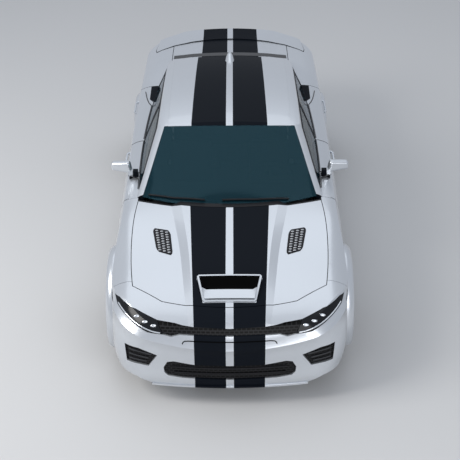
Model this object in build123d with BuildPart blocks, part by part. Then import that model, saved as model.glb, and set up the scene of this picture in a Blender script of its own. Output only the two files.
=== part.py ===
from build123d import *
import os

os.makedirs("parts", exist_ok=True)

# A four-door muscle car in millimetres. Y runs to the rear, X to the car's left, Z up from the floor.
# Wheels
axle_front_y = -1595
axle_rear_y = 1478
wheel_x = 829           # centre plane of each wheel
tyre_radius = 361
tyre_width = 305
rim_radius = 254
bead_radius = rim_radius + 0.4   # bore of the tyre, just clear of the rim
hub_radius = 35
hub_clearance = 0.3
disc_radius = 200
disc_width = 32
disc_offset = 35        # inner face of the brake disc, outboard of the wheel's centre plane
spoke_count = 5
upright_depth = 60      # how far the upright reaches inboard of the wheel's centre plane
ball_joint_drop = 145   # half height of each upright, between its ball joints

# Panels and gaps
reach = 1100            # half width of every cutting prism, beyond the bodywork
panel = 24              # outer panels such as hood, fenders and bumpers
roof_panel_depth = 20
door_depth = 74         # door thickness below the belt
frame_depth = 36        # thickness of door frames round the glass
flange_depth = 26       # thickness of the body's flange behind the doors
flange_lap = 25         # how far that flange reaches in behind the door's edge
door_gap = 10           # gap between a door's inner side and the flange it closes on
seam = 6                # gap between a moving panel and its neighbour
fixed_seam = 3
seat_gap = 0.3          # gap between pieces that seat on each other
glass = 6
glass_sunk = 3          # how far the glass lies inside the body's surface

# Bodywork lines
sill_z = 165
side_bottom_z = 230     # bottom of the fenders and body sides, on the skirts
floor_z = 213
fascia_y = -2040        # where the front bumper meets the fenders
fender_rear_y = -996
scuttle_x = 781
rear_bumper_y = 1905
rear_bumper_z = 794
spoiler_z = 1040
arch_radius = 450       # opening in the bodywork, filled by the flare
flare_radius = 400
flare_x = 994
flare_seat_x = 880      # inner face of each flare, which the wheel arch liner meets
roof_edge_x = 540
mesh = 8
scoop_rim_width = 16
mesh_sunk = 14
chin_z = 185            # bottom of the front bumper, on the splitter
splitter_z = 169
splitter_lip = 14
splitter_x = 605
flare_bottom_z = 156
skirt_front_y = -1230
skirt_rear_y = 1110
jack_x = 860
jack_z = 140
skirt_x = 800           # inner face of each skirt, on the floor's edge
liner_radius = 412
liner_wall = 6
front_liner_x = 490
rear_liner_x = 600
sheet = 12
pipe_z = 198
pipe_x = 75
pipe_radius = 27
tip_x = 600
tip_radius = 48
trunk_floor_z = 572
arm_end_x = 815
seat_x = 370            # centre of each front seat, and of the steering wheel

# Rings of the lower body: plan outlines, each on its own plane that rises to the rear. Columns:
# height at the middle, rise per mm, front centre y, front corner x, y and radius,
# half width at the middle, rear corner x, y and radius, rear centre y
LOWER_RINGS = [
    (165, 0.000, -2535, 885, -2425, 250, 905, 885, 2400, 220, 2470),
    (330, 0.004, -2545, 903, -2425, 265, 918, 905, 2430, 260, 2520),
    (560, 0.012, -2558, 915, -2425, 300, 920, 915, 2445, 300, 2558),
    (745, 0.020, -2505, 925, -2425, 480, 938, 925, 2430, 330, 2548),
    (850, 0.030, -2430, 925, -2390, 560, 945, 915, 2390, 370, 2530),
    (950, 0.035, -2360, 905, -2330, 590, 918, 885, 2350, 400, 2505),
    (1120, 0.040, -2260, 850, -2240, 600, 862, 830, 2300, 420, 2470),
]
# Top of the lower body. Columns: y, centre z, dome half width, drop and width of the dome's flank,
# hood edge x and z, shoulder end x and z
TOP_STATIONS = [
    (-2720, 600, 262, 3, 30, 700, 560, 1010, 430),
    (-2500, 722, 268, 5, 40, 740, 672, 1010, 520),
    (-2340, 790, 280, 8, 50, 755, 750, 1010, 590),
    (-2080, 868, 300, 16, 60, 770, 818, 1010, 650),
    (-1600, 950, 345, 22, 70, 790, 903, 1010, 715),
    (-1120, 1010, 410, 18, 80, 800, 975, 1010, 765),
    (-300, 1036, 420, 6, 80, 805, 995, 1010, 780),
    (900, 1050, 420, 4, 80, 795, 1010, 1010, 800),
    (1750, 1106, 420, 4, 80, 740, 1075, 1010, 850),
    (2300, 1122, 420, 4, 80, 700, 1088, 1010, 850),
    (2720, 1112, 420, 4, 80, 660, 1070, 1010, 800),
]
# Rings of the glasshouse, with the columns of the lower body's rings
CABIN_RINGS = [
    (880, 0, -1370, 820, -1215, 60, 842, 690, 2190, 200, 2300),
    (1000, 0, -1160, 782, -992, 68, 803, 668, 1935, 180, 2045),
    (1120, 0, -945, 730, -800, 74, 752, 640, 1665, 170, 1780),
    (1260, 0, -697, 671, -595, 80, 690, 615, 1350, 150, 1455),
    (1395, 0, -458, 612, -395, 86, 625, 590, 1050, 130, 1130),
    (1500, 0, -270, 566, -235, 90, 575, 560, 790, 120, 870),
]
# Roof skin. Columns: y, centre z, roof edge x, drop at that edge, side end x, drop at that end
ROOF_STATIONS = [
    (-1500, 1230, 500, 24, 860, 190),
    (-1000, 1335, 505, 24, 860, 200),
    (-430, 1417, 515, 25, 860, 215),
    (0, 1456, 520, 26, 860, 235),
    (300, 1466, 520, 27, 860, 240),
    (700, 1457, 510, 27, 860, 235),
    (1120, 1414, 495, 26, 860, 215),
    (1700, 1318, 480, 25, 860, 200),
    (2400, 1180, 480, 25, 860, 190),
]


def ring(row, inset, left_only):
    """One plan outline of four arcs with rounded corners, moved inwards by inset."""
    height, rise, front_y, fx, fy, fr, half, rx, ry, rr, rear_y = row
    plane = Plane(origin=(0, 0, height), x_dir=(1, 0, 0), z_dir=(0, -rise, 1))
    front, rear = (fx - inset, fy + inset), (rx - inset, ry - inset)
    with BuildSketch(plane) as sketch:
        with BuildLine():
            ThreePointArc((-front[0], front[1]), (0, front_y + inset), front)
            ThreePointArc(front, (half - inset, 0), rear)
            ThreePointArc(rear, (0, rear_y - inset), (-rear[0], rear[1]))
            ThreePointArc((-rear[0], rear[1]), (inset - half, 0), (-front[0], front[1]))
        make_face()
        fillet(sketch.vertices().group_by(Axis.Y)[0], radius=max(fr - inset, 15))
        fillet(sketch.vertices().sort_by(Axis.Y)[-2:], radius=max(rr - inset, 15))
        if left_only:
            split(bisect_by=Plane.YZ)
    return sketch.sketch.face()


def top_section(row, drop, left_only=False):
    """Section across the lower body: dome, flanks, hood, shoulders and straight sides to the floor."""
    y, centre, dome, flank_drop, flank, hood_x, hood_z, end_x, end_z = row
    sag = (centre - flank_drop - hood_z) / hood_x**2

    def crown(x):
        return centre - flank_drop - sag * x**2 - drop

    edge = (dome, crown(dome) + flank_drop)
    foot = (dome + flank, crown(dome + flank))
    middle = (foot[0] / 2 + hood_x / 2, crown(foot[0] / 2 + hood_x / 2))
    with BuildSketch(Plane(origin=(0, y, 0), x_dir=(1, 0, 0), z_dir=(0, -1, 0))) as sketch:
        with BuildLine():
            ThreePointArc((-edge[0], edge[1]), (0, centre - drop), edge)
            for side in (1, -1):
                Line((side * edge[0], edge[1]), (side * foot[0], foot[1]))
                hood_line = ThreePointArc(
                    (side * foot[0], foot[1]), (side * middle[0], middle[1]), (side * hood_x, hood_z - drop)
                )
                TangentArc(
                    (side * hood_x, hood_z - drop), (side * end_x, end_z - drop), tangent=hood_line % 1
                )
                Line((side * end_x, end_z - drop), (side * end_x, 0))
            Line((end_x, 0), (-end_x, 0))
        make_face()
        if left_only:
            split(bisect_by=Plane.YZ)
    return sketch.sketch.face()


def top_row(y):
    """A row of the top stations at any y."""
    rear = next(index for index, row in enumerate(TOP_STATIONS) if row[0] > y)
    before, after = TOP_STATIONS[rear - 1], TOP_STATIONS[rear]
    share = (y - before[0]) / (after[0] - before[0])
    return tuple(a + (b - a) * share for a, b in zip(before, after))


def raised(rows):
    """A solid whose top follows the lower body's, higher by an amount given at each y."""
    with BuildPart() as solid:
        loft([top_section(top_row(y), -rise) for y, rise in rows])
    return solid.part


def roof_section(row, drop, left_only):
    """Section across the roof: a crowned top with rounded sides."""
    y, centre, edge_x, edge_drop, end_x, end_drop = row
    top, edge, end = centre - drop, centre - edge_drop - drop, centre - end_drop - drop
    with BuildSketch(Plane(origin=(0, y, 0), x_dir=(1, 0, 0), z_dir=(0, -1, 0))) as sketch:
        with BuildLine():
            crown = ThreePointArc((-edge_x, edge), (0, top), (edge_x, edge))
            TangentArc((edge_x, edge), (end_x, end), tangent=crown % 1)
            TangentArc((-edge_x, edge), (-end_x, end), tangent=(crown % 0) * -1)
            Line((end_x, end), (end_x, 0))
            Line((-end_x, end), (-end_x, 0))
            Line((end_x, 0), (-end_x, 0))
        make_face()
        if left_only:
            split(bisect_by=Plane.YZ)
    return sketch.sketch.face()


def lower_body(inset, left_only=False):
    """The closed lower body, inset from the outer surface all round and on top."""
    with BuildPart() as top:
        loft([top_section(row, inset, left_only) for row in TOP_STATIONS])
    with BuildPart() as body:
        loft([ring(row, inset, left_only) for row in LOWER_RINGS])
        add(top.part, mode=Mode.INTERSECT, clean=False)
    return body.part


def cabin(inset, left_only=False):
    """The closed glasshouse, from under the belt to the roof, inset from its outer surface."""
    with BuildPart() as top:
        loft([roof_section(row, inset, left_only) for row in ROOF_STATIONS])
    with BuildPart() as house:
        loft([ring(row, inset, left_only) for row in CABIN_RINGS])
        add(top.part, mode=Mode.INTERSECT, clean=False)
    return house.part


side_view = Plane(origin=(0, 0, 0), x_dir=(0, 1, 0), z_dir=(1, 0, 0))
front_view = Plane(origin=(0, 0, 0), x_dir=(1, 0, 0), z_dir=(0, -1, 0))


def outline(plane, points, grow=0):
    """A closed outline. A point with a third number is one that its edge bows through."""
    corners = [index for index, point in enumerate(points) if len(point) == 2]
    with BuildSketch(plane) as sketch:
        with BuildLine():
            for here, there in zip(corners, corners[1:] + [corners[0] + len(points)]):
                end = points[there % len(points)]
                if there - here == 1:
                    Line(points[here], end)
                else:
                    ThreePointArc(points[here], points[(here + 1) % len(points)][:2], end)
        make_face()
        if grow:
            offset(amount=grow, kind=Kind.INTERSECTION)
    return sketch.sketch


def prism(plane, points, start, end, grow=0):
    """A straight prism on an outline, between two distances along the plane's normal."""
    with BuildPart() as solid:
        extrude(outline(plane.offset(start), points, grow), amount=end - start)
    return solid.part


def both(half):
    """A symmetrical outline from its left half; points on the centre line are bows."""
    return half + [(-point[0],) + point[1:] for point in reversed(half) if point[0] != 0]


def block(low, high):
    """A box between two corners."""
    with BuildPart() as solid:
        with Locations(tuple((low[i] + high[i]) / 2 for i in range(3))):
            Box(*[high[i] - low[i] for i in range(3)])
    return solid.part


def left_hull():
    """The body's left half, outside."""
    with BuildPart() as solid:
        add(lower_body(0, left_only=True), clean=False)
        add(cabin(0, left_only=True), clean=False)
    return solid.part


def insets(lower_inset, cabin_inset):
    """The left halves of the lower body and the glasshouse, inset separately."""
    return lower_body(lower_inset, left_only=True), cabin(cabin_inset, left_only=True)


def rod(start, end, radius):
    """A round bar between two points."""
    start, end = Vector(*start), Vector(*end)
    with BuildPart() as bar:
        with BuildSketch(Plane(origin=start, z_dir=end - start)):
            Circle(radius)
        extrude(amount=(end - start).length)
    return bar.part


def without(solid, *cuts):
    """A solid with others cut away."""
    with BuildPart() as rest:
        add(solid, clean=False)
        add(cuts, mode=Mode.SUBTRACT, clean=False)
    return rest.part


def within(solid, *limits):
    """What a solid shares with every one of the limits."""
    with BuildPart() as rest:
        add(solid, clean=False)
        for limit in limits:
            add(limit, mode=Mode.INTERSECT, clean=False)
    return rest.part


def mirrored(solid):
    """The same solid on the car's other side."""
    with BuildPart() as other:
        mirror(solid, about=Plane.YZ)
    return other.part


def axis_of(axle_y):
    """The line that both wheels of one axle turn about."""
    return Axis((0, axle_y, tyre_radius), (1, 0, 0))


def pair(solid):
    """A left piece and its mirror image, as separate solids of one node."""
    return Compound(children=[*solid.solids(), *mirrored(solid).solids()])


def save(part, name):
    """Write one piece under its name."""
    part.label = name
    export_step(part, f"parts/{name}.step")


def save_pair(part, name):
    """Write a left piece and its mirror image."""
    save(part, f"{name}_left")
    save(mirrored(part), f"{name}_right")


# Middle of each jacking pad
JACK_POINTS = (-1000, 880)
# Outlines seen from above
HOOD = both([(0, -2343, 1), (516, -2265), (752, -2090), (795, -1480, 1), (775, -1050), (0, -1200, 1)])
WINDSCREEN = both([(0, -1172, 1), (742, -1005), (572, -425), (0, -452, 1)])
BACKLIGHT = both([(0, 1800, 1), (600, 1745), (535, 1120), (0, 1150, 1)])
TRUNK_LID = both([(0, 1822, 1), (612, 1772), (600, 2700)])
SPOILER = both([(0, 2262, 1), (602, 2150), (790, 2020), (798, 2085), (765, 2330), (500, 2478), (0, 2506, 1)])
# Rim of the hood scoop, and its height above the hood at each y
SCOOP = [
    (-238, -2070), (-252, -2086), (-208, -2288), (-190, -2302),
    (190, -2302), (208, -2288), (252, -2086), (238, -2070),
]
SCOOP_RISE = [(-2400, 8), (-2300, 12), (-2070, 38), (-1900, 44)]
# Height that the spoiler adds to the lid, at each y
SPOILER_RISE = [(1990, 9), (2250, 13), (2400, 26), (2530, 44)]
# Outlines seen from the side
FRONT_DOOR = [
    (-990, 262), (58, 262), (64, 985), (104, 1389), (-140, 1374, 1), (-380, 1338),
    (-905, 1012), (-978, 968), (-990, 880),
]
FRONT_GLASS = [(-840, 1015), (22, 1022), (54, 1352), (-140, 1343, 1), (-350, 1306)]
REAR_DOOR = [
    (68, 262), (947, 262), (994, 600, 1), (1186, 815), (1240, 985), (1205, 1065),
    (1000, 1330), (560, 1391, 1), (114, 1391), (74, 985),
]
REAR_GLASS = [(96, 1024), (1128, 1040), (945, 1292), (560, 1358, 1), (128, 1356)]
# Outlines seen from the front
HEADLAMP = [(505, 650), (623, 655), (866, 728), (893, 762), (850, 774), (717, 762), (548, 731)]
UPPER_GRILLE = both([
    (0, 699), (276, 709), (414, 725), (548, 731), (505, 650), (440, 637), (377, 655), (276, 652), (0, 649),
])
LOWER_INTAKE = both([
    (0, 384), (264, 387), (430, 412), (480, 400), (509, 345), (505, 300), (478, 272), (363, 256), (0, 246),
])
SIDE_INTAKE = [(806, 519), (700, 511), (554, 457), (626, 343), (795, 360)]
# What is cut from below the bumper's corners
CHIN_CORNER = [(608, 100), (608, 186), (720, 232), (850, 250), (900, 300), (1100, 300), (1100, 100)]
DIFFUSER = both([(0, 330, 1), (560, 318), (700, 300), (740, 160)])
TAIL_LAMP = [(618, 905), (790, 912), (838, 935), (838, 975), (618, 985)]
TAIL_CENTRE = both([(0, 992, 1), (594, 985), (594, 905), (0, 898, 1)])

outer = left_hull()
door_inner = insets(door_depth, frame_depth)
flange_face = insets(door_depth + door_gap, frame_depth + door_gap)
flange_inner = insets(door_depth + door_gap + flange_depth, frame_depth + door_gap + flange_depth)
panel_inner = insets(panel, roof_panel_depth)
cabin_outer = cabin(0)
lower_outer = lower_body(0)
lower_inner = lower_body(panel)
shell = without(lower_outer, lower_inner)
roof_shell = without(cabin_outer, cabin(roof_panel_depth))
glass_shell = without(cabin(glass_sunk), cabin(glass_sunk + glass))
lens_shell = without(lower_body(glass_sunk), lower_inner)

arches = []
for axle_y in (axle_front_y, axle_rear_y):
    with BuildPart() as arch:
        with BuildSketch(side_view.offset(-reach)):
            with Locations((axle_y, tyre_radius)):
                Circle(arch_radius)
        extrude(amount=2 * reach)
    arches.append(arch.part)

hood_hole = prism(Plane.XY, HOOD, 600, 1100, grow=seam)
trunk_hole = prism(Plane.XY, TRUNK_LID, rear_bumper_z, 1200, grow=seam)
windscreen_hole = prism(Plane.XY, WINDSCREEN, 900, 1500, grow=seat_gap)
backlight_hole = prism(Plane.XY, BACKLIGHT, 900, 1500, grow=seat_gap)

# Hood with the raised rim of its scoop
hood = within(shell, prism(Plane.XY, HOOD, 600, 1100))
scoop_rim = without(prism(Plane.XY, SCOOP, 700, 1000), prism(Plane.XY, SCOOP, 600, 1100, -scoop_rim_width))
with BuildPart() as hood_and_scoop:
    add(hood, clean=False)
    add(without(within(raised(SCOOP_RISE), scoop_rim), lower_body(panel / 2)), clean=False)
save(hood_and_scoop.part, "hood")

# Front bumper
bumper = within(shell, block((-reach, -2700, chin_z), (reach, fascia_y, 900)))
cuts = [hood_hole, arches[0]]
for points in (UPPER_GRILLE, LOWER_INTAKE):
    cuts.append(prism(front_view, points, 2050, 2700))
for points in (HEADLAMP, SIDE_INTAKE, CHIN_CORNER):
    opening = prism(front_view, points, 2050, 2700)
    cuts += [opening, mirrored(opening)]
save(without(bumper, *cuts), "front_bumper")

# Front fenders
fender = within(shell, block((0, fascia_y + fixed_seam, side_bottom_z), (reach, fender_rear_y, 1100)))
scuttle_edge = block((0, -1300, 800), (scuttle_x, -900, 1100))
chin = block((0, -2700, 0), (reach, axle_front_y, 400))
save(pair(without(fender, hood_hole, scuttle_edge, arches[0], chin)), "front_fenders")

# Scuttle under the wipers
scuttle_side = scuttle_x - seat_gap
scuttle = within(shell, block((-scuttle_side, -1250, 800), (scuttle_side, fender_rear_y, 1100)))
save(without(scuttle, hood_hole, cabin_outer), "scuttle")

# Body sides: pillars, sills and flanges round the doors
side = within(outer, block((0, fender_rear_y + fixed_seam, side_bottom_z), (reach, 1270, 1500)))
roof_block = block((0, -500, 1150), (roof_edge_x + seat_gap, 1300, 1500))
side = without(side, *flange_inner, roof_block, windscreen_hole, backlight_hole, arches[1])
for door_points in (FRONT_DOOR, REAR_DOOR):
    opening = without(prism(side_view, door_points, 300, reach, seam), *flange_face)
    side = without(side, prism(side_view, door_points, 300, reach, -flange_lap))
    side = without(side, opening)
save(pair(side), "body_sides")

# Rear quarters
quarter = within(outer, block((0, 1270 + seat_gap, 400), (reach, 2700, 1500)))
bumper_edge = block((0, rear_bumper_y - fixed_seam, 0), (reach, 2700, rear_bumper_z + fixed_seam))
tail_lamp = prism(front_view, TAIL_LAMP, -2700, -2100)
spoiler_hole = prism(Plane.XY, SPOILER, spoiler_z - seam, 1300, grow=seam)
quarter = without(quarter, *panel_inner, backlight_hole, trunk_hole, arches[1], bumper_edge)
quarter = without(quarter, tail_lamp, spoiler_hole)
save(pair(quarter), "rear_quarters")

# Roof
roof = within(roof_shell, block((-roof_edge_x, -500, 1150), (roof_edge_x, 1270, 1500)))
roof = without(roof, windscreen_hole, backlight_hole)
save(roof, "roof_panel")

# Windscreen and backlight
save(within(glass_shell, prism(Plane.XY, WINDSCREEN, 975, 1500)), "windscreen")
save(within(glass_shell, prism(Plane.XY, BACKLIGHT, 975, 1500)), "rear_window")

# Trunk lid with its lamp opening, and the spoiler that rises towards its rear lip
tail_centre = prism(front_view, TAIL_CENTRE, -2700, -2200)
tail_centre_lens = prism(front_view, TAIL_CENTRE, -2700, -2200, -seat_gap)
with BuildPart() as lid:
    add(raised(SPOILER_RISE), clean=False)
    add(prism(Plane.XY, SPOILER, spoiler_z, 1300), mode=Mode.INTERSECT, clean=False)
    add(within(lower_outer, prism(Plane.XY, TRUNK_LID, rear_bumper_z + seam, 1200)), clean=False)
    add([lower_inner, tail_centre], mode=Mode.SUBTRACT, clean=False)
save(lid.part, "trunk_lid")
save(within(lens_shell, tail_centre_lens), "tail_lamp_centre")

# Rear bumper above the diffuser
rear_bumper = within(shell, block((-reach, rear_bumper_y, sill_z), (reach, 2700, rear_bumper_z)))
diffuser = prism(front_view, DIFFUSER, -2700, -2300)
save(without(rear_bumper, arches[1], diffuser), "rear_bumper")

# Doors and their glass
for name, door_points, glass_points in (
    ("front", FRONT_DOOR, FRONT_GLASS),
    ("rear", REAR_DOOR, REAR_GLASS),
):
    window = prism(side_view, glass_points, 300, reach)
    leaf = without(within(outer, prism(side_view, door_points, 300, reach)), *door_inner, window)
    if name == "front":
        with BuildPart() as mirror_head:
            with BuildSketch(Plane(origin=(850, -570, 0), x_dir=(1, 0, 0), z_dir=(0.2, -1, 0))):
                Polygon((0, 1018), (186, 1034), (190, 1108), (20, 1128), align=None)
            extrude(amount=70)
            fillet(mirror_head.edges(), radius=24)
            add(block((808, -645, 960), (885, -595, 1050)))
            add(leaf)
        leaf = mirror_head.part
    save_pair(leaf, f"door_{name}")
    pane = within(glass_shell, prism(side_view, glass_points, 300, reach, -seat_gap))
    save_pair(pane, f"door_glass_{name}")

# Headlamps and outer tail lamps
headlamp = within(lens_shell, prism(front_view, HEADLAMP, 2050 + seat_gap, 2700, -seat_gap))
save(pair(headlamp), "headlamps")
save(pair(within(lens_shell, prism(front_view, TAIL_LAMP, -2700, -2100, -seat_gap))), "tail_lamps")

# Grilles in the front bumper's openings
mesh_shell = without(lower_body(mesh_sunk), lower_body(mesh_sunk + mesh))
grilles = []
for points in (UPPER_GRILLE, LOWER_INTAKE, SIDE_INTAKE):
    grilles += within(mesh_shell, prism(front_view, points, 2050, 2700, -seat_gap)).solids()
grilles.append(mirrored(grilles[-1]))
save(Compound(children=grilles), "front_grilles")

# Splitter below the chin
with BuildPart() as splitter:
    splitter_outline = ring((splitter_z,) + LOWER_RINGS[0][1:], -splitter_lip, False)
    extrude(splitter_outline, amount=chin_z - seat_gap - splitter_z)
    add(block((-splitter_x, -2700, 0), (splitter_x, fascia_y, chin_z)), mode=Mode.INTERSECT)
save(splitter.part, "front_splitter")

# Diffuser round the exhaust tips
tip_holes = [rod((side * 560, 2250, 245), (side * 640, 2750, 245), tip_radius + 4) for side in (1, -1)]
diffuser_panel = within(lens_shell, prism(front_view, DIFFUSER, -2700, -2300, -seat_gap))
save(without(diffuser_panel, *tip_holes), "rear_diffuser")

# Flares round the wheel arches, and the skirts between them
flare_solids = []
for axle_y in (axle_front_y, axle_rear_y):
    wheel_plane = Plane(origin=(0, axle_y, tyre_radius), x_dir=(1, 0, 0), z_dir=(0, -1, 0))
    rim_edge = arch_radius - seat_gap
    with BuildPart() as flare:
        with BuildSketch(wheel_plane):
            with BuildLine():
                Polyline((flare_seat_x, rim_edge), (flare_seat_x, flare_radius), (flare_x, flare_radius))
                Line((flare_x, flare_radius), (flare_x, flare_radius + 14))
                ThreePointArc((flare_x, flare_radius + 14), (973, flare_radius + 38), (930, rim_edge))
                Line((930, rim_edge), (flare_seat_x, rim_edge))
            make_face()
        revolve(axis=axis_of(axle_y))
        add(block((0, -2700, -200), (reach, 2700, flare_bottom_z)), mode=Mode.SUBTRACT)
    flare_solids += [*flare.part.solids(), *mirrored(flare.part).solids()]
save(Compound(children=flare_solids), "arch_flares")
with BuildPart() as skirt:
    with BuildSketch(Plane(origin=(0, skirt_front_y, 0), x_dir=(1, 0, 0), z_dir=(0, -1, 0))):
        Polygon(
            (skirt_x, 150), (948, 150), (962, 168), (950, 205), (925, side_bottom_z - seat_gap),
            (skirt_x, side_bottom_z - seat_gap), align=None,
        )
    extrude(amount=skirt_front_y - skirt_rear_y)
    for jack_y in JACK_POINTS:
        add(block((jack_x - 30, jack_y - 40, jack_z), (jack_x + 30, jack_y + 40, 155)))
    add(arches, mode=Mode.SUBTRACT)
save(pair(skirt.part), "side_skirts")

# Liners above the wheels
liners = []
for axle_y, inner_x in ((axle_front_y, front_liner_x), (axle_rear_y, rear_liner_x)):
    with BuildPart() as liner:
        with BuildSketch(side_view.offset(inner_x)):
            with Locations((axle_y, tyre_radius)):
                Circle(liner_radius + liner_wall)
                Circle(liner_radius, mode=Mode.SUBTRACT)
        extrude(amount=flare_seat_x - seat_gap - inner_x)
        add(block((0, -2700, -200), (reach, 2700, 270)), mode=Mode.SUBTRACT)
    liners += [*liner.part.solids(), *mirrored(liner.part).solids()]
save(Compound(children=liners), "arch_liners")

# Floor, tunnel, bulkheads, rails and front beam
with BuildPart() as floor:
    add(block((0, -1060, floor_z), (skirt_x - seat_gap, 1050, floor_z + sheet)))
    add(block((0, -1012, floor_z), (640, -1000, 955)))
    add(block((0, 1040, floor_z), (rear_liner_x - seam, 1282, floor_z + sheet)))
    add(block((0, 1270, floor_z), (rear_liner_x - seam, 1282, 1040)))
    add(block((0, 1270, 1030), (600, 1760, 1040)))
    add(block((0, 1270, trunk_floor_z - sheet), (500, 2440, trunk_floor_z)))
    add(block((0, 2430, trunk_floor_z - sheet), (690, 2440, 780)))
    add(block((0, -1012, floor_z + sheet), (150, -560, 400)))
    add(block((0, -572, floor_z + sheet), (125, 620, 400)))
    add(block((0, 600, floor_z + sheet), (125, 1282, 345)))
    add(block((0, -1070, 0), (138, -572, 388)), mode=Mode.SUBTRACT)
    add(block((0, -580, 0), (115, 608, 388)), mode=Mode.SUBTRACT)
    add(block((0, 600, 0), (115, 1290, 333)), mode=Mode.SUBTRACT)
    add(block((436, -2400, 400), (484, -1000, 500)))
    add(block((0, -2420, 400), (700, -2385, 500)))
    add(block((436, -1012, 230), (484, -1000, 500)))
    add(mirrored(floor.part))
save(floor.part, "floor_pan")

# Tyres, rims with their discs, and the pieces that carry them
for end, axle_y in (("front", axle_front_y), ("rear", axle_rear_y)):
    wheel_centre = Plane(origin=(wheel_x, axle_y, tyre_radius), x_dir=(1, 0, 0), z_dir=(0, -1, 0))
    with BuildPart() as tyre:
        with BuildSketch(wheel_centre):
            with BuildLine():
                Line((-137, bead_radius), (137, bead_radius))
                for sign in (1, -1):
                    Line((sign * 137, bead_radius), (sign * 138, 268))
                    ThreePointArc((sign * 138, 268), (sign * tyre_width / 2, 305), (sign * 138, 345))
                    ThreePointArc((sign * 138, 345), (sign * 132, 354), (sign * 120, 359))
                ThreePointArc((-120, 359), (0, tyre_radius), (120, 359))
            make_face()
        revolve(axis=axis_of(axle_y))
    save_pair(tyre.part, f"tyre_{end}")
    with BuildPart() as rim:
        with BuildSketch(wheel_centre):
            with BuildLine():
                Polyline(
                    (-146, 240), (-146, 267), (-140.3, 267), (-139, rim_radius), (-80, rim_radius), (-60, 246),
                    (60, 246), (80, rim_radius), (139, rim_radius), (140.3, 267), (146, 267), (146, 244),
                    (120, 241), (-140, 238), close=True,
                )
            make_face()
        revolve(axis=axis_of(axle_y))
        with BuildSketch(side_view.offset(wheel_x + 88)):
            with Locations((axle_y, tyre_radius)):
                with PolarLocations(0, spoke_count, start_angle=90):
                    for turn in (-9, 9):
                        with Locations(Location((0, 0), turn)):
                            with Locations((150, 0)):
                                Trapezoid(34, 190, 88, rotation=-90)
        extrude(amount=34)
        with BuildSketch(side_view.offset(wheel_x + disc_offset + disc_width - 4)):
            with Locations((axle_y, tyre_radius)):
                Circle(85)
        extrude(amount=60)
        with BuildSketch(side_view.offset(wheel_x + disc_offset)):
            with Locations((axle_y, tyre_radius)):
                Circle(disc_radius)
                Circle(70, mode=Mode.SUBTRACT)
        extrude(amount=disc_width)
        with BuildSketch(side_view.offset(wheel_x)):
            with Locations((axle_y, tyre_radius)):
                Circle(hub_radius + hub_clearance)
        extrude(amount=disc_offset + 57, mode=Mode.SUBTRACT)
    save_pair(rim.part, f"rim_{end}")
    with BuildPart() as carrier:
        with BuildSketch(side_view.offset(wheel_x - upright_depth)):
            with Locations((axle_y, tyre_radius)):
                Circle(80)
                Rectangle(70, 2 * ball_joint_drop)
                with Locations((-120, 0)):
                    Rectangle(140, 90)
        extrude(amount=upright_depth)
        with BuildSketch(side_view.offset(wheel_x - 10)):
            with Locations((axle_y, tyre_radius)):
                Circle(disc_radius + 28)
                Circle(disc_radius - 65, mode=Mode.SUBTRACT)
                with Locations((150, 0)):
                    Rectangle(500, 500, mode=Mode.SUBTRACT)
                with Locations((-200, 230), (-200, -230)):
                    Rectangle(400, 240, mode=Mode.SUBTRACT)
        extrude(amount=disc_offset + 56)
        with BuildSketch(side_view.offset(wheel_x + disc_offset - 3)):
            with Locations((axle_y, tyre_radius)):
                Circle(disc_radius + 3)
        extrude(amount=disc_width + 6, mode=Mode.SUBTRACT)
        with BuildSketch(side_view.offset(wheel_x - 5)):
            with Locations((axle_y, tyre_radius)):
                Circle(hub_radius)
        extrude(amount=disc_offset + 60)
    if end == "front":
        save_pair(carrier.part, "knuckle")
    else:
        save(pair(carrier.part), "hub_carriers")

# Suspension: beams, arms and dampers
for end, axle_y, damper_dy, damper_top in (
    ("front", axle_front_y, 0, 640),
    ("rear", axle_rear_y, -62, 590),
):
    low, high = tyre_radius - ball_joint_drop - 18, tyre_radius + ball_joint_drop + 18
    with BuildPart() as suspension:
        add(block((-430, axle_y - 140, 232), (430, axle_y + 140, 286)))
        add(block((-330, axle_y - 115, 200), (330, axle_y + 115, 300)), mode=Mode.SUBTRACT)
        add(block((-430, axle_y - 140, low - 16), (-400, axle_y + 140, high + 16)))
        add(block((400, axle_y - 140, low - 16), (430, axle_y + 140, high + 16)))
        for sign in (1, -1):
            for dy in (-110, 110):
                for level in (low, high):
                    add(rod((sign * 410, axle_y + dy, level), (sign * arm_end_x, axle_y, level), 15))
            with Locations((sign * arm_end_x, axle_y, low), (sign * arm_end_x, axle_y, high)):
                Cylinder(24, 36 - 2 * seat_gap)
            add(rod((sign * 560, axle_y - 75, low), (sign * 560, axle_y + 75, low), 12))
            damper_y = axle_y + damper_dy
            add(rod((sign * 560, damper_y, low), (sign * 560, damper_y, damper_top), 20))
            add(rod((sign * 560, damper_y, 330), (sign * 560, damper_y, damper_top - 20), 38))
            add(rod((sign * 395, axle_y, tyre_radius), (sign * 435, axle_y, tyre_radius), 32), mode=Mode.SUBTRACT)
        add(rod((0, axle_y - 145, 290), (0, axle_y - 110, 290), 38), mode=Mode.SUBTRACT)
    save(suspension.part, f"{end}_suspension")

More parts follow.
